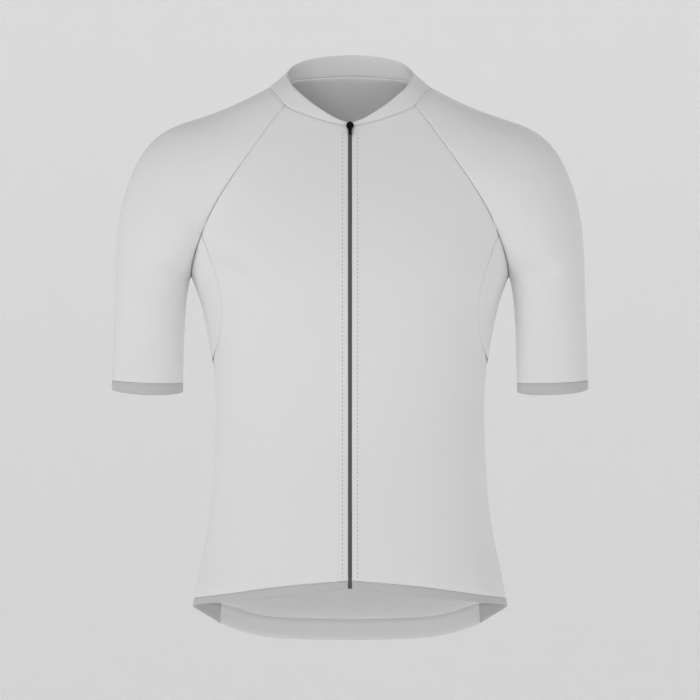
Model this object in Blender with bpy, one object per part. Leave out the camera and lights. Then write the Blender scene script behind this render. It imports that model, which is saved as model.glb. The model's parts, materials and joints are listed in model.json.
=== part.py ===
"""A short-sleeved raglan cycling jersey with a full-length front zip, filled out to its worn form.

Metres, +Z up. The front faces -Y, and the wearer's left sleeve is at +X. The origin is the centre
of the neck opening, level with the ends of the collar seam on the shoulders.
Lengths in the tables and constants are millimetres, turns are degrees.
"""

import math
from collections import namedtuple

import bmesh
import bpy
import numpy as np
from mathutils import Matrix

MM = 0.001

CLOTH = 1.6  # body and sleeve knit
BAND = 1.8  # collar, cuffs and hem grippers
SEAM_GAP = 0.3
POCKET_LIFT = 0.6  # the pocket panel lies this far off the back
SQUARENESS = 2.5  # 2 would make the torso's sections ellipses

Section = namedtuple("Section", "height half_width front back")
TORSO = [
    Section(16, 72, 40, 56),
    Section(0, 97, 46, 64),
    Section(-12, 119, 51, 70),
    Section(-28, 151, 59, 78),
    Section(-40, 179, 65, 82.5),
    Section(-52, 198, 70.5, 87),
    Section(-70, 211, 79.5, 93),
    Section(-110, 214, 97, 103),
    Section(-150, 208, 112, 109),
    Section(-190, 203, 122, 113),
    Section(-237.5, 197, 128, 113),
    Section(-262, 187, 128, 111),
    Section(-290, 180, 126, 108),
    Section(-330, 173, 121, 103),
    Section(-370, 168.7, 116, 98.5),
    Section(-410, 167.5, 112, 96),
    Section(-460, 169, 113, 99),
    Section(-510, 172.5, 117, 106),
    Section(-550, 177, 120, 112),
    Section(-590, 186.5, 122.5, 117),
    Section(-646, 196.7, 126, 122),
    Section(-705, 199, 128, 125),
]

# Raglan sleeve sections. Each runs from the front seam over the outer line to the back seam, and
# from station 11, the underarm point, both seams are one inner line. swing turns the section away
# from the torso's surface until it leaves straight forward and back.
Sleeve = namedtuple(
    "Sleeve",
    "station front_x front_z outer_x outer_z back_x back_z swing seam_reach outer_reach dip lean",
)
SLEEVE = [
    Sleeve(0, 79.6, -28.5, 101, -2.5, 53, 11.4, 0, 24, 22, 0, 0),
    Sleeve(1, 92, -43, 124, -15, 73, -9, 0, 33, 30, 0, 0),
    Sleeve(2, 106, -63, 156, -30, 95.5, -32, 0.04, 40, 36, 0, 0),
    Sleeve(3, 120.3, -83, 190, -41.5, 118, -56, 0.1, 46, 40, 0, 0),
    Sleeve(4, 134.4, -103.5, 222, -51, 138, -78, 0.2, 50, 44, 0, 0),
    Sleeve(5, 148.2, -124, 244.5, -66, 155, -101, 0.32, 50, 48, 0, 0),
    Sleeve(6, 161.7, -145, 262, -88, 167.5, -127, 0.42, 51, 52, 0, 0),
    Sleeve(7, 173.4, -166, 276, -119, 177, -152, 0.5, 53, 54, 0, 0),
    Sleeve(8, 182, -188, 285, -150, 185, -180, 0.6, 55, 56, 0, 0),
    Sleeve(9, 189.4, -206, 290, -180, 190.8, -205, 0.72, 57, 60, 0, 0),
    Sleeve(10, 195, -225, 292, -207, 195, -225, 0.86, 66, 66, 0, 0),
    Sleeve(11, 197, -237.5, 292.5, -230, 197, -237.5, 1, 76, 76, 0, 0),
    Sleeve(12, 199.5, -251, 293, -248, 199.5, -251, 1, 76, 76, 0, 0),
    Sleeve(13, 202.5, -274, 293.7, -271, 202.5, -274, 1, 73, 73, 0, 1),
    Sleeve(14, 204.2, -304, 295, -301, 204.2, -304, 1, 69, 69, 0, 2),
    Sleeve(15, 204.7, -337, 295.9, -333, 204.7, -337, 1, 66, 66, 1, 4),
    Sleeve(16, 205.4, -368.5, 296.3, -365, 205.4, -368.5, 1, 64, 64, 2, 6),
    Sleeve(17, 205.6, -379.5, 296.5, -375.5, 205.6, -379.5, 1, 63, 63, 6, 6.5),
]
UNDERARM = 11
CUFF_SEAM = 16
CUFF_END = 17

# Height of the front neckline, out from the centre front to the raglan seam.
Neckline = namedtuple("Neckline", "x height")
FRONT_NECK = [
    Neckline(0, -55),
    Neckline(18.8, -51.5),
    Neckline(39.5, -45.6),
    Neckline(55, -39.9),
    Neckline(69, -34.2),
    Neckline(79.6, -28.5),
]
BACK_NECK = [Neckline(0, 15.2), Neckline(19, 14.6), Neckline(38, 13.2), Neckline(53, 11.4)]

# The collar's upper edge. Along the seam below it, station 0 is the centre front, 1 and 3 the front
# and back raglan seams, 2 the shoulder and 4 the centre back.
Collar = namedtuple("Collar", "station x y z")
COLLAR_EDGE = [
    Collar(0, 2.2, -69.6, -50.5),
    Collar(0.24, 17.5, -67.5, -44.8),
    Collar(0.5, 36.7, -62.3, -32.5),
    Collar(0.7, 47.5, -56.5, -24.5),
    Collar(0.87, 58.5, -50, -15),
    Collar(1, 65.5, -43.5, -8.5),
    Collar(1.5, 74.5, -24, 5),
    Collar(2, 78, 0, 16),
    Collar(2.5, 71.5, 27, 27),
    Collar(3, 52, 43.5, 36.5),
    Collar(3.4, 30, 51, 40.8),
    Collar(4, 0, 54, 43),
]

# The underarm gusset's front edge, from the raglan seam down to the side.
Edge = namedtuple("Edge", "height x")
GUSSET_EDGE = [
    Edge(-188, 182),
    Edge(-211, 172.4),
    Edge(-230, 165.3),
    Edge(-249, 160),
    Edge(-268, 156.8),
    Edge(-287, 155.8),
    Edge(-306, 157.7),
    Edge(-325, 163.7),
    Edge(-342, 171.9),
]
GUSSET_TOP = 8  # sleeve station where the gusset begins

# Below the gusset the fronts wrap round to a seam on the back.
SideSeam = namedtuple("SideSeam", "height turn")
SIDE_SEAM = [
    SideSeam(-342, 90),
    SideSeam(-363, 104),
    SideSeam(-385, 109.5),
    SideSeam(-420, 112.8),
    SideSeam(-460, 113.4),
    SideSeam(-515, 113.8),
    SideSeam(-591, 119.8),
    SideSeam(-648, 123.3),
    SideSeam(-673, 123.8),
]

# Seam and lower edge of the hem bands, by their turn from the centre front.
Hem = namedtuple("Hem", "turn seam edge")
FRONT_HEM = [
    Hem(0, -606, -615.6),
    Hem(24, -612.6, -624.5),
    Hem(53, -625.7, -635),
    Hem(90, -637, -646),
    Hem(110, -643, -657.5),
    Hem(123.5, -648, -673),
]
TAIL_HEM = [
    Hem(123.5, -648, -673),
    Hem(129.5, -651.5, -680),
    Hem(137.5, -660, -687),
    Hem(145, -666, -692.7),
    Hem(158, -670, -697.3),
    Hem(180, -672.6, -699.2),
]

SIDE_ROWS = (-262, -290, -318, -342)  # heights of points down the gusset's back edge
FLANK_ROWS = (-363, -390, -420, -460, -510, -555, -600)  # and down the side seams below it

ZIP_EDGE = 2.2  # the fronts stop this far from the centre line
CHAIN_HALF = 1.9
CHAIN_LIFT = 0.2
CHAIN_THICKNESS = 2.0
TAPE_WIDTH = 14.0
TAPE_THICKNESS = 1.0
TAPE_BEHIND = 0.9  # behind the hem bands, clear of the curve of the fronts
CHAIN_TOP = -61.0

POCKET_TOP = -426.6  # mouth of the middle pocket
POCKET_SIDE_TOP = -454.0  # where the slanted mouths meet the side seams
POCKET_SIDE_BASE = -636.0
POCKET_BASE = -640.0
POCKET_DIVIDE = 58.0  # half the width of the middle pocket

TAB_TOP = -520.5
TAB_BOTTOM = -583.5
TAB_WIDTH = 9.5
TAB_THICKNESS = 1.0

SLIDER_HEIGHT = -55.0
SLIDER_HALF_WIDTH = 4.7
SLIDER_HALF_LENGTH = 5.0
SLIDER_BASE = 0.6  # off the cloth
SLIDER_FACE = 2.2
BRIDGE_HALF_WIDTH = 1.2
BRIDGE_HALF_LENGTH = 3.2
BRIDGE_INSIDE = 2.2
BRIDGE_UNDER = 4.8
BRIDGE_TOP = 6.0
HINGE_OFF = 3.5  # the pull tab's axis, off the cloth
TAB_HALF = 0.6
WINDOW_HALF = 1.5
WINDOW_END = -4.5

FRONT_COLUMNS = 10
BACK_COLUMNS = 8
SLEEVE_COLUMNS = 8
GUSSET_COLUMNS = 3
GUSSET_TIP = 0.1  # share of its end rows by which the gusset stops short of a point

WHITE = ("white_knit", (0.93, 0.93, 0.93), 0.85, 0)
PALE_ELASTIC = ("pale_grey_elastic", (0.66, 0.66, 0.66), 0.8, 0)
REFLECTIVE = ("grey_reflective_film", (0.5, 0.5, 0.5), 0.4, 0)
DARK_ZIP = ("dark_grey_nylon", (0.16, 0.16, 0.16), 0.45, 0)
BLACK = ("black_enamelled_zinc", (0.02, 0.02, 0.02), 0.35, 0.4)


def smooth(rows, key, column):
    """A smooth curve through one named column of a table, read by another column."""
    ordered = sorted(rows, key=lambda row: getattr(row, key))
    knots = np.array([getattr(row, key) for row in ordered], float)
    values = np.array([getattr(row, column) for row in ordered], float)
    slopes = np.gradient(values, knots)

    def value(where):
        where = min(max(where, knots[0]), knots[-1])
        right = min(max(int(np.searchsorted(knots, where)), 1), len(knots) - 1)
        left = right - 1
        span = knots[right] - knots[left]
        t = (where - knots[left]) / span
        start = (1 + 2 * t) * values[left] + t * span * slopes[left]
        end = (3 - 2 * t) * values[right] + (t - 1) * span * slopes[right]
        return float((1 - t) ** 2 * start + t**2 * end)

    return value


HALF_WIDTH = smooth(TORSO, "height", "half_width")
FRONT_DEPTH = smooth(TORSO, "height", "front")
BACK_DEPTH = smooth(TORSO, "height", "back")
SLEEVE_CURVES = {name: smooth(SLEEVE, "station", name) for name in Sleeve._fields[1:]}
FRONT_NECK_HEIGHT = smooth(FRONT_NECK, "x", "height")
BACK_NECK_HEIGHT = smooth(BACK_NECK, "x", "height")
GUSSET_X = smooth(GUSSET_EDGE, "height", "x")
SIDE_TURN = smooth(SIDE_SEAM, "height", "turn")
FRONT_SEAM = smooth(FRONT_HEM, "turn", "seam")
FRONT_EDGE = smooth(FRONT_HEM, "turn", "edge")
TAIL_SEAM = smooth(TAIL_HEM, "turn", "seam")
TAIL_EDGE = smooth(TAIL_HEM, "turn", "edge")


def mix(start, end, share):
    return start + (end - start) * share


def unit(vector):
    return vector / max(np.linalg.norm(vector), 1e-9)


def torso(turn, height):
    """A point of the torso's outer surface. turn is 0 at the centre front and 180 at the centre back."""
    sine = abs(math.sin(math.radians(turn)))
    depth = -FRONT_DEPTH(height) if turn < 90 else BACK_DEPTH(height)
    y = depth * math.sqrt(max(0.0, 1 - sine**SQUARENESS))
    return np.array([HALF_WIDTH(height) * math.sin(math.radians(turn)), y, height])


def turn_of(x, height):
    """The turn, on the front, of the torso's point this far from the centre line."""
    return math.degrees(math.asin(min(1.0, x / HALF_WIDTH(height))))


def normal_of(surface, first, second, step):
    """The outward normal, where first runs round to the wearer's left and second runs up."""
    across = surface(first + step, second) - surface(first - step, second)
    up = surface(first, second + step) - surface(first, second - step)
    return unit(np.cross(across, up))


def torso_point(turn, height):
    return torso(turn, height), normal_of(torso, turn, height, 0.05)


def raglan(side, station):
    """(turn, height) of a raglan seam at a sleeve station, on the front or the back."""
    height = SLEEVE_CURVES[side + "_z"](station)
    turn = turn_of(SLEEVE_CURVES[side + "_x"](station), height)
    return (turn if side == "front" else 180 - turn), height


def sleeve(around, station):
    """A point of the sleeve. around is -1 at the front seam, 0 on the outer line, 1 at the back seam."""
    column = {name: curve(station) for name, curve in SLEEVE_CURVES.items()}
    outer = np.array([column["outer_x"], -column["lean"], column["outer_z"]])
    side, forward = ("front", -1.0) if around < 0 else ("back", 1.0)
    ahead = np.array([0.0, forward, 0.0])
    if station < UNDERARM:
        seam, normal = torso_point(*raglan(side, station))
        along = unit((outer - seam) - normal * np.dot(outer - seam, normal))
        leave = unit(mix(along, ahead, column["swing"]))
    else:
        seam = np.array([column["front_x"], -column["lean"], column["front_z"]])
        leave = ahead
    first = seam + leave * column["seam_reach"]
    second = outer + ahead * column["outer_reach"]
    t = 1 - abs(around)
    s = abs(around)
    point = s**3 * seam + 3 * s**2 * t * first + 3 * s * t**2 * second + t**3 * outer
    point[2] -= 4 * s * t * column["dip"]
    return point


def sleeve_point(around, station):
    def upward(a, b):
        return sleeve(min(max(a, -1.0), 1.0), -b)

    return sleeve(around, station), normal_of(upward, around, -station, 0.002)


def draw_in(grid, edges):
    """Moves the named edges of a grid inwards, square to themselves, by half the seam gap."""
    points, normals = grid
    views = {
        "top": points,
        "bottom": points[::-1],
        "start": points.transpose(1, 0, 2),
        "end": points.transpose(1, 0, 2)[::-1],
    }
    for name in edges:
        rim, inner = views[name][0], views[name][1]
        tangent = np.gradient(rim, axis=0)
        if np.allclose(rim[0], rim[-1]):
            tangent[0] = tangent[-1] = rim[1] - rim[-2]
        inward = inner - rim
        for index in range(len(rim)):
            if np.linalg.norm(tangent[index]) < 1e-6:
                continue
            line = unit(tangent[index])
            square = inward[index] - line * np.dot(inward[index], line)
            rim[index] += unit(square) * SEAM_GAP / 2
    return points, normals


def grid_of(rows):
    """Turns rows of (point, normal) pairs into an array of points and one of normals."""
    points = np.array([[point for point, _ in row] for row in rows])
    normals = np.array([[normal for _, normal in row] for row in rows])
    for place, normal in zip(points, normals):
        if np.allclose(place[0], place[-1]):
            normal[0] = normal[-1] = unit(normal[0] + normal[-1])
    return points, normals


def wall(name, look, grid, thickness, lift=0.0):
    """One closed cloth wall: the grid moved out by lift, its copy moved in, and the rim between."""
    points, normals = grid
    rows, columns = points.shape[:2]
    outer = points + normals * lift
    inner = points + normals * (lift - thickness)
    mesh = bmesh.new()
    known = {}

    def corner(row, column, layer):
        place = (outer, inner)[layer][row, column]
        key = (layer, *np.round(place, 4))
        if key not in known:
            known[key] = mesh.verts.new(place * MM)
        return known[key]

    rims = {}
    for row in range(rows - 1):
        for column in range(columns - 1):
            ring = [(row, column), (row + 1, column), (row + 1, column + 1), (row, column + 1)]
            faces = [[corner(*place, layer) for place in ring] for layer in (0, 1)]
            pairs = list(dict.fromkeys(zip(*faces)))
            if len(pairs) < 3:
                continue
            mesh.faces.new([pair[0] for pair in pairs])
            mesh.faces.new([pair[1] for pair in reversed(pairs)])
            for here, after in zip(pairs, pairs[1:] + pairs[:1]):
                if rims.pop((after, here), None) is None:
                    rims[here, after] = True
    for here, after in rims:
        mesh.faces.new((here[0], here[1], after[1], after[0]))
    bmesh.ops.triangulate(mesh, faces=mesh.faces, quad_method="SHORT_EDGE")
    return finish(name, look, mesh)


def finish(name, look, mesh):
    bmesh.ops.recalc_face_normals(mesh, faces=mesh.faces)
    data = bpy.data.meshes.new(name)
    mesh.to_mesh(data)
    mesh.free()
    data.shade_smooth()
    data.set_sharp_from_angle(angle=math.radians(40))
    data.materials.append(material(*look))
    solid = bpy.data.objects.new(name, data)
    bpy.context.scene.collection.objects.link(solid)
    return solid


def material(name, colour, roughness, metallic):
    made = bpy.data.materials.get(name)
    if made is None:
        made = bpy.data.materials.new(name)
        made.use_nodes = True
        shader = made.node_tree.nodes["Principled BSDF"]
        shader.inputs["Base Color"].default_value = (*colour, 1)
        shader.inputs["Roughness"].default_value = roughness
        shader.inputs["Metallic"].default_value = metallic
    return made


def mirrored(grid):
    """The same grid on the wearer's other side, still wound so that its normals face out."""
    flip = np.array([-1.0, 1.0, 1.0])
    return grid[0][:, ::-1] * flip, grid[1][:, ::-1] * flip


def both_sides(name, look, grid, thickness, lift=0.0):
    wall(name + "_left", look, grid, thickness, lift)
    wall(name + "_right", look, mirrored(grid), thickness, lift)


def whole(grid):
    """A half grid that starts on the centre line, joined to its mirror image."""
    other = mirrored(grid)
    points = np.concatenate([grid[0], other[0][:, 1:]], axis=1)
    normals = np.concatenate([grid[1], other[1][:, 1:]], axis=1)
    return points, normals


def front_edge_rows():
    """(turn, height) down the front's outer edge: raglan seam, gusset edge, then side seam."""
    rows = [raglan("front", station) for station in range(GUSSET_TOP + 1)]
    rows += gusset_rows()[0][1:]
    rows += [(SIDE_TURN(height), height) for height in FLANK_ROWS]
    return rows + [(FRONT_HEM[-1].turn, FRONT_HEM[-1].seam)]


def gusset_rows():
    """The gusset's front and back edges, each as (turn, height) at the same heights."""
    seam = [raglan("front", station) for station in range(GUSSET_TOP, UNDERARM + 1)]
    back = seam + [(90.0, height) for height in SIDE_ROWS]
    front = [(turn_of(GUSSET_X(height), height), height) for _, height in back]
    front[0] = back[0]
    front[-1] = back[-1]
    return front, back


def back_edge_rows():
    """(turn, height) down the back's outer edge: raglan seam, side, then side seam."""
    rows = [raglan("back", station) for station in range(UNDERARM + 1)]
    rows += [(90.0, height) for height in SIDE_ROWS]
    rows += [(SIDE_TURN(height), height) for height in FLANK_ROWS]
    return rows + [(TAIL_HEM[0].turn, TAIL_HEM[0].seam)]


def panel(edge_rows, columns, inner_turn, top_height, bottom_height):
    """A grid from the centre line out to an edge, bounded by curves above and below it.

    inner_turn(height) is the turn of its centre edge, top_height(turn, height) and
    bottom_height(turn) the heights of its upper and lower edges.
    """
    first, last = edge_rows[0], edge_rows[-1]
    rows = []
    centre_top = top_height(inner_turn(first[1]), first[1])
    centre_bottom = bottom_height(inner_turn(last[1]))
    for edge_turn, edge_height in edge_rows:
        down = (edge_height - first[1]) / (last[1] - first[1])
        centre_height = mix(centre_top, centre_bottom, down)
        row = []
        for column in range(columns + 1):
            out = column / columns
            turn = mix(inner_turn(centre_height), edge_turn, out)
            upper_turn = mix(inner_turn(centre_top), first[0], out)
            lower_turn = mix(inner_turn(centre_bottom), last[0], out)
            upper = top_height(upper_turn, first[1]) - mix(centre_top, first[1], out)
            lower = bottom_height(lower_turn) - mix(centre_bottom, last[1], out)
            height = mix(centre_height, edge_height, out) + mix(upper, lower, down)
            row.append((turn, height))
        rows.append(row)
    return rows


def neck_height(curve, turn, near):
    """The height where a neckline, given by its distance from the centre line, has this turn."""
    height = near
    for _ in range(12):
        height = curve(torso(turn, height)[0])
    return height


def zip_turn(height):
    return turn_of(ZIP_EDGE, height)


def front_plan():
    return panel(
        front_edge_rows(),
        FRONT_COLUMNS,
        zip_turn,
        lambda turn, near: neck_height(FRONT_NECK_HEIGHT, turn, near),
        FRONT_SEAM,
    )


def back_plan():
    return panel(
        back_edge_rows(),
        BACK_COLUMNS,
        lambda height: 180.0,
        lambda turn, near: neck_height(BACK_NECK_HEIGHT, turn, near),
        TAIL_SEAM,
    )


def on_torso(plan):
    return grid_of([[torso_point(*place) for place in row] for row in plan])


def make_fronts():
    plan = front_plan()
    both_sides("front", WHITE, draw_in(on_torso(plan), ("top", "bottom", "end")), CLOTH)
    turns = [turn for turn, _ in plan[-1]]
    band = [[(turn, FRONT_SEAM(turn)) for turn in turns], [(turn, FRONT_EDGE(turn)) for turn in turns]]
    both_sides("front_hem", PALE_ELASTIC, draw_in(on_torso(band), ("top", "end")), BAND)


def outward(plan):
    """Back plans run from the centre out, so their columns are turned round to face outwards."""
    return [row[::-1] for row in plan]


def make_back():
    plan = back_plan()
    half = on_torso(outward(plan))
    body = join_at_centre_back(half)
    wall("back", WHITE, draw_in(body, ("top", "bottom", "start", "end")), CLOTH)
    turns = [turn for turn, _ in plan[-1]]
    band = [[(turn, TAIL_SEAM(turn)) for turn in turns], [(turn, TAIL_EDGE(turn)) for turn in turns]]
    tail = join_at_centre_back(on_torso(outward(band)))
    wall("tail_hem", WHITE, draw_in(tail, ("top", "start", "end")), BAND)


def join_at_centre_back(half):
    """A grid from the left side to the centre back, carried on round to the right side."""
    return whole((half[0], half[1]))


def make_gussets():
    front, back = (tipped(edge) for edge in gusset_rows())
    rows = []
    for (start, height), (end, _) in zip(front, back):
        shares = [column / GUSSET_COLUMNS for column in range(GUSSET_COLUMNS + 1)]
        rows.append([torso_point(mix(start, end, share), height) for share in shares])
    both_sides("gusset", WHITE, draw_in(grid_of(rows), ("start", "end")), CLOTH)


def tipped(edge):
    """A gusset edge whose end points are moved in a little, so that its tips stay blunt."""
    first = [mix(a, b, GUSSET_TIP) for a, b in zip(edge[0], edge[1])]
    last = [mix(a, b, GUSSET_TIP) for a, b in zip(edge[-1], edge[-2])]
    return [first, *edge[1:-1], last]


def sleeve_columns():
    return [column / SLEEVE_COLUMNS - 1 for column in range(2 * SLEEVE_COLUMNS + 1)]


def make_sleeves():
    stations = range(CUFF_SEAM + 1)
    grid = grid_of([[sleeve_point(around, at) for around in sleeve_columns()] for at in stations])
    cap = (grid[0][:UNDERARM], grid[1][:UNDERARM])
    draw_in(cap, ("start", "end"))
    both_sides("sleeve", WHITE, draw_in(grid, ("top", "bottom")), CLOTH)
    ends = (CUFF_SEAM, CUFF_END)
    cuff = grid_of([[sleeve_point(around, at) for around in sleeve_columns()] for at in ends])
    both_sides("cuff", PALE_ELASTIC, draw_in(cuff, ("top",)), BAND)


def collar_seam():
    """(station, point) along the neck seam, from the zip round the wearer's left to the centre back."""
    front = front_plan()[0]
    back = back_plan()[0][::-1]
    seam = [(index / FRONT_COLUMNS, torso(*place)) for index, place in enumerate(front)]
    seam += [(2 + around, sleeve(around, 0)) for around in sleeve_columns()[1:-1]]
    seam += [(3 + index / BACK_COLUMNS, torso(*place)) for index, place in enumerate(back)]
    return seam


def make_collar():
    edge = {axis: smooth(COLLAR_EDGE, "station", axis) for axis in "xyz"}
    rows = [[], [], []]
    for station, foot in collar_seam():
        top = np.array([edge[axis](station) for axis in "xyz"])
        for level, row in enumerate(rows):
            row.append(mix(top, foot, level / 2))
    points = np.array(rows)
    across = np.gradient(points, axis=1)
    up = -np.gradient(points, axis=0)
    normals = np.cross(across, up)
    normals[:, -1, 0] = 0
    normals /= np.linalg.norm(normals, axis=2, keepdims=True)
    band = whole((points, normals))
    wall("collar", WHITE, draw_in(band, ("bottom",)), BAND)


def make_pocket_panel():
    heights = [POCKET_SIDE_TOP, -500, -550, -600, POCKET_SIDE_BASE]
    edge = [(SIDE_TURN(height), height) for height in heights]

    def mouth(turn, near):
        out = torso(turn, near)[0]
        reach = torso(*edge[0])[0] - POCKET_DIVIDE
        slope = max(0.0, out - POCKET_DIVIDE) / reach
        return mix(POCKET_TOP, POCKET_SIDE_TOP, slope)

    def base(turn):
        share = (180 - turn) / (180 - edge[-1][0])
        return mix(POCKET_BASE, POCKET_SIDE_BASE, share**2)

    plan = panel(edge, BACK_COLUMNS, lambda height: 180.0, mouth, base)
    grid = join_at_centre_back(on_torso(outward(plan)))
    wall("pocket_panel", WHITE, draw_in(grid, ("start", "end")), CLOTH, POCKET_LIFT + CLOTH)


def make_side_tabs():
    steps = 8
    rows = []
    for step in range(1, steps):
        angle = math.pi * step / steps
        height = mix(TAB_TOP, TAB_BOTTOM, (1 - math.cos(angle)) / 2)
        seam = SIDE_TURN(height)
        reach = math.degrees(TAB_WIDTH * math.sin(angle) / np.linalg.norm(torso(seam, height)[:2]))
        rows.append([torso_point(seam + 0.2, height), torso_point(seam + 0.2 + reach, height)])
    lift = 2 * POCKET_LIFT + CLOTH + TAB_THICKNESS
    both_sides("side_tab", REFLECTIVE, grid_of(rows), TAB_THICKNESS, lift)


def make_zip():
    heights = [row[0][1] for row in front_plan()] + [FRONT_EDGE(0)]

    def strip(top, inner, outer):
        rows = [top] + [height for height in heights if height < top - 2]
        edges = [[turn_of(inner, row), turn_of(outer, row)] for row in rows]
        return on_torso([[(turn, row) for turn in pair] for pair, row in zip(edges, rows)])

    tape = strip(SLIDER_HEIGHT - 1.5, SEAM_GAP / 2, TAPE_WIDTH)
    both_sides("zip_tape", DARK_ZIP, tape, TAPE_THICKNESS, -BAND - TAPE_BEHIND)
    half = strip(CHAIN_TOP, 0, CHAIN_HALF)
    left = mirrored(half)
    chain = tuple(np.concatenate([left[k], half[k][:, 1:]], axis=1) for k in (0, 1))
    wall("zip_chain", DARK_ZIP, chain, CHAIN_THICKNESS, CHAIN_LIFT)


def slider_frame():
    """Stands on the cloth at the slider: X across, Y up along the zip, Z out of the cloth."""
    place, normal = torso_point(0.0, SLIDER_HEIGHT)
    up = np.cross(normal, (1.0, 0.0, 0.0))
    frame = Matrix((*zip((1.0, 0.0, 0.0), up, normal, place * MM), (0, 0, 0, 1)))
    return frame


def prism(outline, low, high):
    """A straight solid over an outline in X and Y, from Z low to Z high, in millimetres."""
    mesh = bmesh.new()
    base = mesh.faces.new([mesh.verts.new((x * MM, y * MM, low * MM)) for x, y in outline])
    top = bmesh.ops.extrude_face_region(mesh, geom=[base])["geom"]
    moved = [item for item in top if isinstance(item, bmesh.types.BMVert)]
    bmesh.ops.translate(mesh, verts=moved, vec=(0, 0, (high - low) * MM))
    return mesh


def rectangle(half_width, low, high):
    return [(-half_width, low), (half_width, low), (half_width, high), (-half_width, high)]


def cutter(name, mesh, parent):
    solid = finish(name, BLACK, mesh)
    solid.hide_render = True
    solid.display_type = "WIRE"
    solid.parent = parent
    return solid


def boolean(solid, other, operation):
    step = solid.modifiers.new(other.name, "BOOLEAN")
    step.operation = operation
    step.object = other


def make_slider():
    corners = 24
    ring = [2 * math.pi * index / corners for index in range(corners)]
    oval = [(SLIDER_HALF_WIDTH * math.cos(a), SLIDER_HALF_LENGTH * math.sin(a)) for a in ring]
    slider = finish("zip_slider", BLACK, prism(oval, SLIDER_BASE, SLIDER_FACE))
    slider.matrix_world = slider_frame()
    bridge = rectangle(BRIDGE_HALF_WIDTH, -BRIDGE_HALF_LENGTH, BRIDGE_HALF_LENGTH)
    arch = cutter("bridge", prism(bridge, SLIDER_BASE + 0.4, BRIDGE_TOP), slider)
    hole = rectangle(BRIDGE_HALF_WIDTH + 1, -BRIDGE_INSIDE, BRIDGE_INSIDE)
    eye = cutter("bridge_eye", prism(hole, SLIDER_FACE, BRIDGE_UNDER), slider)
    boolean(slider, arch, "UNION")
    boolean(slider, eye, "DIFFERENCE")


def make_pull_tab():
    """Hangs by its top bar from the slider's bridge. Its origin is on the hinge's axis."""
    half = [(0, 0.6), (2.2, 0.6), (2.8, 0), (2.8, -4.5), (2.3, -8), (1.6, -13.5), (1.2, -14.6), (0, -15)]
    outline = half[:-1] + [(-x, y) for x, y in half[::-1] if x or y < 0][:-1]
    outline = [(x, y) for x, y in outline if (x, y) != (0, 0.6)]
    tab = finish("pull_tab", BLACK, prism(outline, -TAB_HALF, TAB_HALF))
    tab.matrix_world = slider_frame() @ Matrix.Translation((0, 0, HINGE_OFF * MM))
    window = rectangle(WINDOW_HALF, WINDOW_END, -TAB_HALF)
    opening = cutter("tab_window", prism(window, -1, 1), tab)
    boolean(tab, opening, "DIFFERENCE")


def main():
    for old in list(bpy.data.objects):
        bpy.data.objects.remove(old)
    make_fronts()
    make_back()
    make_gussets()
    make_sleeves()
    make_collar()
    make_pocket_panel()
    make_side_tabs()
    make_zip()
    make_slider()
    make_pull_tab()


main()
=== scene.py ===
"""The finish of a white short-sleeved cycling jersey, filled out to its worn form."""

import json
import math

import bmesh
import bpy
import numpy as np
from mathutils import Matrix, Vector
from mathutils.bvhtree import BVHTree

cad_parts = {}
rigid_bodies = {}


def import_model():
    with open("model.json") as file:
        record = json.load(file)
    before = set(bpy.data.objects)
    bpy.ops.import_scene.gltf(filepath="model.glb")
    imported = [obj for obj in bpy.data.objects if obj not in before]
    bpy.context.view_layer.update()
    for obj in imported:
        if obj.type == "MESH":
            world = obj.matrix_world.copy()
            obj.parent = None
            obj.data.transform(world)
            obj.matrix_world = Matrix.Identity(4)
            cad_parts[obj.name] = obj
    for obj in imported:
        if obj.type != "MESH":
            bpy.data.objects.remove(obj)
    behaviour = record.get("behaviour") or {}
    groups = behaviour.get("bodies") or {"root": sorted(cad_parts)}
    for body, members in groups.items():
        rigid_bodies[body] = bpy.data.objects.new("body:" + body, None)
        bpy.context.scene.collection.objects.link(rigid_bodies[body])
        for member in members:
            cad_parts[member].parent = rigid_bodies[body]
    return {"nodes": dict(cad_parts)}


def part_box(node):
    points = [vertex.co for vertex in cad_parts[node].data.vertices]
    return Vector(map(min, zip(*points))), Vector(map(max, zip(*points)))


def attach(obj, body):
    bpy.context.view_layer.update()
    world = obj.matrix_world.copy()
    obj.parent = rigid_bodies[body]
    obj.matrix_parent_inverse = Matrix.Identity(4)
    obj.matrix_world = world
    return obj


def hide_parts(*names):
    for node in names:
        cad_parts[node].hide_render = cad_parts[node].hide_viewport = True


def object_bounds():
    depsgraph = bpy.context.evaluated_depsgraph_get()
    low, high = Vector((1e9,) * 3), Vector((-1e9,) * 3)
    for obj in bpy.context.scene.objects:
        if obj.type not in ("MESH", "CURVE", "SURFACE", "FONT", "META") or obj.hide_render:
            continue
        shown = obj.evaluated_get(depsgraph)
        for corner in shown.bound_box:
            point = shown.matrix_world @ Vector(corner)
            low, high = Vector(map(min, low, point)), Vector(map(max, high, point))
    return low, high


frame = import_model()
cad_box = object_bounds()

MM = 0.001
BODY = "jersey"
MERGE = 0.01 * MM  # corners of loose triangles nearer than this are one corner

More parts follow.
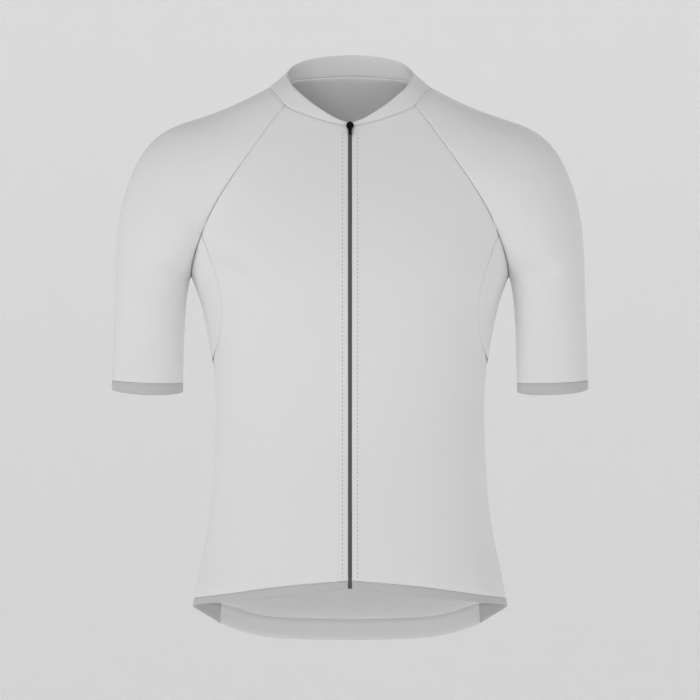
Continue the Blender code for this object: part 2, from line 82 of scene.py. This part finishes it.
# Cloth panels: the width and length of the cut in metres, the share of that rectangle that is
# cloth, and the piece's outer material.
PANELS = {
    "front_left": (0.345, 0.62, 0.62, "knit"),
    "front_right": (0.345, 0.62, 0.62, "knit"),
    "back": (0.43, 0.70, 0.8, "knit"),
    "gusset_left": (0.085, 0.155, 0.55, "knit"),
    "gusset_right": (0.085, 0.155, 0.55, "knit"),
    "sleeve_left": (0.37, 0.42, 0.72, "knit"),
    "sleeve_right": (0.37, 0.42, 0.72, "knit"),
    "collar": (0.53, 0.03, 0.75, "knit"),
    "pocket_panel": (0.36, 0.215, 0.95, "knit"),
    "tail_hem": (0.37, 0.03, 0.85, "knit"),
    "front_hem_left": (0.34, 0.015, 0.85, "elastic"),
    "front_hem_right": (0.34, 0.015, 0.85, "elastic"),
    "cuff_left": (0.29, 0.0148, 0.95, "elastic"),
    "cuff_right": (0.29, 0.0148, 0.95, "elastic"),
    "side_tab_left": (0.015, 0.06, 0.6, "reflective"),
    "side_tab_right": (0.015, 0.06, 0.6, "reflective"),
    "zip_tape_left": (0.0145, 0.562, 1.0, "tape"),
    "zip_tape_right": (0.0145, 0.562, 1.0, "tape"),
}
# The material on the side of a panel that faces the wearer: for the knit a pale grey that is painted shade,
# for the bands a darker grey that is partly their own and partly painted shade. The tail's band is lined as
# a hem is.
INSIDES = {
    "knit": "inside",
    "elastic": "band_inside",
    "reflective": "reflective",
    "tape": "tape",
}
LINED_BAND = "tail_hem"

# Soft creases, mm: on which side of the garment, from where to where, how deep and how wide.
CREASES = [
    # side   x0    z0    x1    z1   depth width
    ("front", 168, -196, 118, -236, 2.2, 11),
    ("front", 160, -226, 112, -262, 1.6, 10),
    ("front", -170, -200, -112, -230, 2.0, 12),
    ("front", -158, -232, -118, -272, 1.5, 9),
    ("front", 158, -392, 92, -414, 1.6, 13),
    ("front", 150, -436, 98, -446, 1.2, 12),
    ("front", -160, -404, -96, -420, 1.7, 13),
    ("front", -152, -448, -104, -462, 1.1, 11),
    ("front", 176, -560, 128, -588, 1.4, 14),
    ("front", -178, -572, -134, -596, 1.3, 13),
    ("front", 208, -222, 262, -246, 2.0, 11),
    ("front", 206, -262, 254, -276, 1.3, 10),
    ("front", -208, -226, -258, -252, 1.9, 11),
    ("front", -206, -270, -250, -282, 1.2, 10),
    ("front", 226, -322, 284, -334, 1.0, 12),
    ("front", -224, -330, -280, -340, 1.1, 12),
    ("back", 172, -200, 122, -244, 2.2, 12),
    ("back", -174, -206, -126, -240, 2.0, 12),
    ("back", 140, -378, 62, -398, 1.8, 14),
    ("back", -142, -386, -70, -402, 1.7, 14),
    ("back", 112, -350, 40, -362, 1.2, 12),
    ("back", -118, -346, -52, -366, 1.3, 12),
    ("back", 210, -226, 264, -250, 2.0, 12),
    ("back", -210, -232, -262, -254, 1.9, 12),
]
CREASE_RIDGE = 0.45  # height of the ridges beside a crease, as a share of its depth
RIDGE_OFF = 1.9  # their distance from its middle, in crease widths
CREASE_ENDS = 0.15  # a crease's ends start this far along its fade, so that they aren't points
SIDE_FADE = 25  # creases fade out this near to the garment's side, mm

ARM_LINE = [(60, -60), (150, -110), (232, -180), (250, -290), (251, -390)]  # x, z of an arm's middle
NECK_HALF = 90  # the trunk's middle runs this far to each side, mm
COLLAR_HALF = 25  # and the collar's this far
RIM_EDGE = 2.3  # no outer face has an edge this short, mm
SEAM_CREASE = 0.75  # how sharp a wall's edges stay where it is rounded, from 0 to 1
CORNER_ANGLE = math.radians(35)  # a rim that turns more than this has a sharp corner
FACET_ANGLE = math.radians(50)  # triangles that meet flatter than this can be halves of one facet
FACET_SHAPE = math.radians(75)
ROUNDING = 2  # levels of subdivision
OUTER, INNER, RIM = 0, 1, 2  # the sides of a wall, in the order of its materials

# Stitching and teeth, mm.
ZIP_ROW = 9.0  # x of the row beside the zip
ZIP_ROW_ENDS = (-604.0, -63.0)
STITCH_PITCH = 5.0
STITCH_LENGTH = 3.2
STITCH_RADIUS = 0.28
STITCH_MIDDLE = 0.5  # a dash's middle, as a share of its pitch
STITCH_AHEAD = 0.7  # and the place in its pitch that it points to
POCKET_ROWS = (-60.8, -57.0, 57.0, 60.8)
POCKET_ROW_ENDS = (-432, -637)
MOUTH_BEND = (58, -431)  # x, z where the pockets' mouth turns down, and where it ends
MOUTH_END = (150, -457)
TOOTH_PITCH = 1.6
TOOTH_OFF = 0.6  # mm from the zip's middle to a tooth's
TOOTH_HALVES = (1.25, 0.45, 0.6)  # half its width, depth and height

KNIT_PITCH = 1.5  # mm between the hollows of the knit
GRAIN_SIZE = 6  # mm, the unevenness of the cloth's surface
RIB_PITCH = 1.6  # mm between the elastic's ribs
WEAVE_PITCH = 1.0  # mm between the tape's ribs
WAVE_LENGTH = 1.99 / math.tau  # m, about what one wave of a wave texture at scale 1 takes up

METAL_EDGE = 0.35  # mm, the rounding of the slider's and the pull tab's edges
SHARP_ANGLE = math.radians(40)
FLAT_ANGLE = math.radians(3)

FLOOR = -1.9  # metres, as is all of the stage
FLOOR_RADIUS = 5
BEND_RADIUS = 3
COVE_HEIGHT = 9
COVE_STEPS = 72
COVE_GLOW = 0.24
SKY_GLOW = 0.1
LIGHTS = (
    # name   place            size power
    ("Key", (-2.6, -3.0, 1.9), 1.6, 31),
    ("Fill", (3.2, -2.6, 0.4), 2.0, 5),
    ("Back", (1.2, 3.2, 1.8), 1.8, 15),
)
LIGHTS_AIM = (0, 0, -0.3)
LENS = 170
HEIGHT_SHARE = 0.88  # the garment's height as a share of the view's, at the plane of its nearest cloth
NEAR_CLOTH = 0.12


def shade(hexadecimal):
    """A colour given as sRGB hex, as the linear values that a shader takes."""
    values = [int(hexadecimal[k : k + 2], 16) / 255 for k in (0, 2, 4)]
    return tuple(v / 12.92 if v < 0.04045 else ((v + 0.055) / 1.055) ** 2.4 for v in values)


def add(tree, kind, links=(), **settings):
    """Adds a node, sets its properties and inputs, and links its inputs to other nodes' outputs."""
    node = tree.nodes.new("ShaderNode" + kind)
    for name, value in settings.items():
        if hasattr(node, name):
            setattr(node, name, value)
        else:
            node.inputs[name.replace("_", " ")].default_value = value
    for name, output in links:
        tree.links.new(output, node.inputs[name])
    return node


def shader_of(material):
    return material.node_tree.nodes["Principled BSDF"]


def surface(name, colour, roughness, metallic=0.0, sheen=0.0):
    made = bpy.data.materials.new(name)
    made.use_nodes = True
    shader = shader_of(made)
    shader.inputs["Base Color"].default_value = (*shade(colour), 1)
    shader.inputs["Roughness"].default_value = roughness
    shader.inputs["Metallic"].default_value = metallic
    shader.inputs["Sheen Weight"].default_value = sheen
    return made


def knit(name, colour, depth):
    """Polyester piqué: small round hollows in rows, with a faint fuzz that catches light at the edges."""
    made = surface(name, colour, 0.78, sheen=0.25)
    tree = made.node_tree
    place = add(tree, "TexCoord").outputs["Object"]
    cells = add(tree, "TexVoronoi", [("Vector", place)], Scale=1 / (KNIT_PITCH * MM), Randomness=0.15)
    grain = add(tree, "TexNoise", [("Vector", place)], Scale=1 / (GRAIN_SIZE * MM), Detail=4.0)
    fine = add(tree, "Bump", [("Height", cells.outputs["Distance"])], Strength=depth, Distance=0.25 * MM)
    soft = add(
        tree,
        "Bump",
        [("Height", grain.outputs["Fac"]), ("Normal", fine.outputs["Normal"])],
        Strength=0.15,
        Distance=0.4 * MM,
    )
    tree.links.new(soft.outputs["Normal"], shader_of(made).inputs["Normal"])
    return made


def ribbed(name, colour, pitch, direction):
    """Cloth with raised ribs across one direction."""
    made = surface(name, colour, 0.7, sheen=0.15)
    tree = made.node_tree
    place = add(tree, "TexCoord").outputs["Object"]
    ribs = add(
        tree,
        "TexWave",
        [("Vector", place)],
        wave_type="BANDS",
        bands_direction=direction,
        Scale=WAVE_LENGTH / (pitch * MM),
    )
    bump = add(tree, "Bump", [("Height", ribs.outputs["Fac"])], Strength=0.5, Distance=0.35 * MM)
    tree.links.new(bump.outputs["Normal"], shader_of(made).inputs["Normal"])
    return made


def make_materials():
    return {
        # Smooth white polyester knit: matt and even, with fine hollows that show only close to.
        "knit": knit("White_polyester_knit", "F7F7F7", 0.35),
        # The same knit's inner face, coloured pale grey as painted shade: the real inner face is white, and
        # the grey stands for the shade inside the garment.
        "inside": knit("Knit_inner_face_painted_shade", "BCBEC2", 0.3),
        # The inner face of the hem and cuff bands: the same matt knit, darker still; its dark grey is
        # partly the facing's own grey and partly painted shade inside the band.
        "band_inside": knit("Hem_inner_face_grey_and_painted_shade", "939597", 0.3),
        # Knitted elastic: fine ribs that run round the band and shade its edge.
        "elastic": ribbed("Grey_gripper_elastic", "D2D3D4", RIB_PITCH, "Z"),
        # Bonded reflective film: smooth, with a dull metallic gleam.
        "reflective": surface("Reflective_film", "B4B6B8", 0.35, metallic=0.35),
        # Woven polyester tape: matt, with fine cross ribs.
        "tape": ribbed("Woven_zip_tape", "8A8B8D", WEAVE_PITCH, "Z"),
        # Cut cloth edges with overlock thread: a thin matt grey line along each seam, whose grey is partly
        # the thread and partly painted shade in the seam's groove.
        "seam": surface("Grey_seam_thread_and_painted_shade", "9B9DA0", 0.8),
        # Spun polyester thread: grey dashes, a little glossier than the cloth.
        "thread": surface("Grey_topstitch_thread", "8F9194", 0.6),
        # Moulded nylon coil: dark, with a soft shine on each tooth.
        "teeth": surface("Dark_nylon_coil", "5C5D5F", 0.4),
        # Die-cast zinc under black enamel: near black, with small sharp highlights.
        "metal": surface("Black_enamelled_zinc", "18181A", 0.3, metallic=0.5),
    }


def link(name, data):
    made = bpy.data.objects.new(name, data)
    bpy.context.scene.collection.objects.link(made)
    return made


def data_of(mesh, name):
    """Ends a bmesh by making mesh data of it."""
    data = bpy.data.meshes.new(name)
    mesh.to_mesh(data)
    mesh.free()
    return data


def merged(node):
    """A copy of a frame node's mesh, with its loose triangles joined at their corners."""
    mesh = bmesh.new()
    mesh.from_mesh(frame["nodes"][node].data)
    bmesh.ops.remove_doubles(mesh, verts=mesh.verts, dist=MERGE)
    return mesh


def arm_middle(points, side):
    """The point on an arm's middle line nearest to each point, in millimetres."""
    line = np.array([(side * x, 0, z) for x, z in ARM_LINE], float)
    best = np.full(len(points), np.inf)
    nearest = np.zeros_like(points)
    for start, end in zip(line, line[1:]):
        run = end - start
        along = np.clip(((points - start) @ run) / np.dot(run, run), 0, 1)
        place = start + along[:, None] * run
        gap = np.linalg.norm(points - place, axis=1)
        closer = gap < best
        best[closer] = gap[closer]
        nearest[closer] = place[closer]
    return nearest


def trunk_middle(points, reach):
    """The point level with each point on the trunk's middle plane, at most reach to each side."""
    nearest = points.copy()
    nearest[:, 0] = np.clip(points[:, 0], -reach, reach)
    nearest[:, 1] = 0
    return nearest


def outward(points, node):
    """The direction away from the wearer's middle at each point of a panel."""
    if node.startswith(("sleeve", "cuff")):
        centre = arm_middle(points, -1 if node.endswith("right") else 1)
    else:
        centre = trunk_middle(points, COLLAR_HALF if node == "collar" else NECK_HALF)
    away = points - centre
    return away / np.maximum(np.linalg.norm(away, axis=1, keepdims=True), 1e-6)


def crease_depth(points):
    """How far each point is pressed in by the creases, in millimetres."""
    total = np.zeros(len(points))
    side_fade = np.clip(abs(points[:, 1]) / SIDE_FADE, 0, 1)
    for side, x0, z0, x1, z1, depth, width in CREASES:
        start = np.array([x0, z0], float)
        run = np.array([x1, z1], float) - start
        flat = points[:, [0, 2]] - start
        along = flat @ run / (run @ run)
        off = flat - np.clip(along, 0, 1)[:, None] * run
        across = np.linalg.norm(off, axis=1) / width
        turn = np.clip(CREASE_ENDS + (1 - 2 * CREASE_ENDS) * along, 0, 1)
        fade = np.sin(np.pi * turn) ** 2
        facing = points[:, 1] < 0 if side == "front" else points[:, 1] > 0
        trough = np.exp(-(across**2)) - CREASE_RIDGE * np.exp(-((across - RIDGE_OFF) ** 2))
        total += np.where(facing, depth * fade * trough, 0) * side_fade
    return total


def panel_faces(node):
    """A panel's wall as facets that know their side, with creased edges round its rim."""
    mesh = merged(node)
    bmesh.ops.join_triangles(
        mesh,
        faces=mesh.faces,
        angle_face_threshold=FACET_ANGLE,
        angle_shape_threshold=FACET_SHAPE,
    )
    mesh.faces.ensure_lookup_table()
    centres = np.array([face.calc_center_median() for face in mesh.faces]) / MM
    crease = mesh.edges.layers.float.new("crease_edge")
    for face, away in zip(mesh.faces, outward(centres, node)):
        if min(edge.calc_length() for edge in face.edges) < RIM_EDGE * MM:
            face.material_index = RIM
        elif face.normal.dot(Vector(away)) < 0:
            face.material_index = INNER
        else:
            face.material_index = OUTER
    for edge in mesh.edges:
        kinds = [face.material_index for face in edge.link_faces]
        if len(set(kinds)) > 1:
            edge[crease] = SEAM_CREASE
        elif kinds[0] == RIM and edge.calc_face_angle(0) > CORNER_ANGLE:
            edge[crease] = 1
    return data_of(mesh, node)


def rounded(node, data):
    """The mesh with its facets rounded off by subdivision."""
    rough = link(node + "_rough", data)
    smoothing = rough.modifiers.new("round", "SUBSURF")
    smoothing.levels = smoothing.render_levels = ROUNDING
    graph = bpy.context.evaluated_depsgraph_get()
    smooth = bpy.data.meshes.new_from_object(rough.evaluated_get(graph))
    bpy.data.objects.remove(rough)
    return smooth


def press_creases(data, node):
    places = np.empty(len(data.vertices) * 3)
    data.vertices.foreach_get("co", places)
    places = places.reshape(-1, 3) / MM
    places -= outward(places, node) * crease_depth(places)[:, None]
    data.vertices.foreach_set("co", (places * MM).ravel())


def cloth(node, look, inside, materials):
    """A panel's smooth wall: its facets rounded off, its edges turned in, and the creases pressed in."""
    data = rounded(node, panel_faces(node))
    if not node.startswith(("zip", "collar")):
        press_creases(data, node)
    data.materials.clear()
    # On the knit the rim takes the seam material: thread grey with painted shade of the seam's groove.
    for key in (look, inside, "seam" if look == "knit" else look):
        data.materials.append(materials[key])
    data.shade_smooth()
    shell = link(node + "_cloth", data)
    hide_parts(node)
    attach(shell, BODY)
    return shell


def make_cloth(materials):
    shells = {}
    for node, (width, length, share, look) in PANELS.items():
        # Inner faces carry painted shade: pale grey on the knit, darker grey on the bands.
        inside = "band_inside" if node == LINED_BAND else INSIDES[look]
        shells[node] = cloth(node, look, inside, materials)
    return shells


def tree_of(*objects):
    """All these objects' faces, ready to be met by a ray."""
    points, faces = [], []
    for made in objects:
        base = len(points)
        points += [vertex.co.copy() for vertex in made.data.vertices]
        faces += [[base + index for index in face.vertices] for face in made.data.polygons]
    return BVHTree.FromPolygons(points, faces)


def on_cloth(tree, x, z, from_back=False):
    """The place and outward normal of the cloth seen from the front, or from the back, at x and z in mm."""
    side = 1 if from_back else -1
    place, normal, _, _ = tree.ray_cast(Vector((x * MM, side, z * MM)), Vector((0, -side, 0)))
    return place, normal


def add_dash(mesh, place, along, normal):
    """One stitch: a slim ball of thread, stretched along its row."""
    across = normal.cross(along).normalized()
    for vertex in bmesh.ops.create_icosphere(mesh, subdivisions=1, radius=1)["verts"]:
        x, y, z = vertex.co
        long = along * x * STITCH_LENGTH / 2
        vertex.co = place + (long + across * y * STITCH_RADIUS + normal * z * STITCH_RADIUS) * MM


def shade_faces_smooth(mesh):
    for face in mesh.faces:
        face.smooth = True


def stitches(name, tree, rows, material):
    """Rows of thread dashes, each row two (x, z) ends in mm and its side, laid on the cloth."""
    mesh = bmesh.new()
    for start, end, from_back in rows:
        start, end = np.array(start, float), np.array(end, float)
        count = int(np.linalg.norm(end - start) / STITCH_PITCH)
        for index in range(count):
            here = start + (end - start) * (index + STITCH_MIDDLE) / count
            ahead = start + (end - start) * (index + STITCH_AHEAD) / count
            place, normal = on_cloth(tree, *here, from_back)
            onward, _ = on_cloth(tree, *ahead, from_back)
            if place is not None and onward is not None:
                add_dash(mesh, place, (onward - place).normalized(), normal)
    shade_faces_smooth(mesh)
    data = data_of(mesh, name)
    data.materials.append(material)
    made = link(name, data)
    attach(made, BODY)


def make_stitches(shells, materials):
    fronts = tree_of(shells["front_left"], shells["front_right"])
    low, high = ZIP_ROW_ENDS
    rows = [((side * ZIP_ROW, high), (side * ZIP_ROW, low), False) for side in (-1, 1)]
    stitches("Zip_topstitch", fronts, rows, materials["thread"])
    pocket = tree_of(shells["pocket_panel"])
    top, floor = POCKET_ROW_ENDS
    bend_x, bend_z = MOUTH_BEND
    end_x, end_z = MOUTH_END
    rows = [((x, top), (x, floor), True) for x in POCKET_ROWS]
    rows.append(((-bend_x, bend_z), (bend_x, bend_z), True))
    rows += [((side * bend_x, bend_z), (side * end_x, end_z), True) for side in (-1, 1)]
    stitches("Pocket_stitches", pocket, rows, materials["thread"])


def make_zip(materials):
    """The zip's chain with a tooth at each pitch, on the left and the right side in turn."""
    tree = tree_of(frame["nodes"]["zip_chain"])
    low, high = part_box("zip_chain")
    mesh = merged("zip_chain")
    count = int((high.z - low.z) / MM / TOOTH_PITCH)
    for index in range(count):
        side = 1 if index % 2 else -1
        z = low.z / MM + (index + 0.5) * TOOTH_PITCH
        place, _ = on_cloth(tree, TOOTH_OFF * side, z)
        if place is None:
            continue
        for vertex in bmesh.ops.create_icosphere(mesh, subdivisions=1, radius=1)["verts"]:
            vertex.co = place + vertex.co * Vector(TOOTH_HALVES) * MM
    shade_faces_smooth(mesh)
    data = data_of(mesh, "zip_chain_teeth")
    data.materials.append(materials["teeth"])
    made = link("Zip_chain_teeth", data)
    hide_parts("zip_chain")
    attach(made, BODY)


def metal_piece(node, body, materials):
    """A metal piece with its flat faces made whole and its edges rounded."""
    mesh = merged(node)
    bmesh.ops.dissolve_limit(mesh, angle_limit=FLAT_ANGLE, verts=mesh.verts, edges=mesh.edges)
    data = data_of(mesh, node)
    data.materials.clear()
    data.materials.append(materials["metal"])
    made = link(node + "_metal", data)
    bevel = made.modifiers.new("rounded", "BEVEL")
    bevel.width = METAL_EDGE * MM
    bevel.segments = 3
    bevel.limit_method = "ANGLE"
    bevel.angle_limit = SHARP_ANGLE
    data.shade_smooth()
    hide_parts(node)
    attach(made, body)


def make_cove():
    """A pale floor that bends up into a round wall."""
    wall = FLOOR_RADIUS + BEND_RADIUS
    profile = [(0, 0), (FLOOR_RADIUS, 0)]
    for angle in np.radians(range(10, 91, 10)):
        sine, cosine = math.sin(angle), math.cos(angle)
        profile.append((FLOOR_RADIUS + BEND_RADIUS * sine, BEND_RADIUS - BEND_RADIUS * cosine))
    profile.append((wall, COVE_HEIGHT))
    mesh = bmesh.new()
    edge = [mesh.verts.new((x, 0, z + FLOOR)) for x, z in profile]
    lines = [mesh.edges.new(pair) for pair in zip(edge, edge[1:])]
    bmesh.ops.spin(
        mesh,
        geom=edge + lines,
        cent=(0, 0, 0),
        axis=(0, 0, 1),
        angle=math.tau,
        steps=COVE_STEPS,
        use_merge=True,
    )
    bmesh.ops.remove_doubles(mesh, verts=mesh.verts, dist=MM)
    data = data_of(mesh, "cove")
    data.shade_smooth()
    # Matt studio paint: pale and even, with a glow of its own that keeps the shadows soft.
    paint = surface("Studio_paint", "F0F0F0", 0.9)
    shader_of(paint).inputs["Emission Color"].default_value = (1, 1, 1, 1)
    shader_of(paint).inputs["Emission Strength"].default_value = COVE_GLOW
    data.materials.append(paint)
    link("Cove", data)


def make_lights():
    """Two soft lights in front, one above behind, a faint even sky, and colours shown as they are."""
    for name, place, size, power in LIGHTS:
        lamp = bpy.data.lights.new(name, "AREA")
        lamp.size = size
        lamp.energy = power
        made = link(name, lamp)
        made.location = place
        aim = Vector(LIGHTS_AIM) - Vector(place)
        made.rotation_euler = aim.to_track_quat("-Z", "Y").to_euler()
    world = bpy.data.worlds.new("Soft_sky")
    world.use_nodes = True
    world.node_tree.nodes["Background"].inputs["Color"].default_value = (1, 1, 1, 1)
    world.node_tree.nodes["Background"].inputs["Strength"].default_value = SKY_GLOW
    bpy.context.scene.world = world
    bpy.context.scene.view_settings.view_transform = "Standard"


def make_camera():
    """A long lens straight in front, level with the garment's middle."""
    low, high = (np.array(corner) for corner in cad_box)
    centre = (low + high) / 2
    lens = bpy.data.cameras.new("Camera")
    lens.lens = LENS
    camera = link("Camera", lens)
    height = high[2] - low[2]
    distance = height / HEIGHT_SHARE * lens.lens / lens.sensor_width + NEAR_CLOTH
    camera.location = (0, -distance, centre[2])
    camera.rotation_euler = (math.pi / 2, 0, 0)
    bpy.context.scene.camera = camera


def main():
    for old in [o for o in bpy.data.objects if o.name in ("Cube", "Light", "Camera")]:
        bpy.data.objects.remove(old)
    materials = make_materials()
    shells = make_cloth(materials)
    make_stitches(shells, materials)
    make_zip(materials)
    metal_piece("zip_slider", BODY, materials)
    metal_piece("pull_tab", "pull_tab", materials)
    make_cove()
    make_lights()
    make_camera()


main()
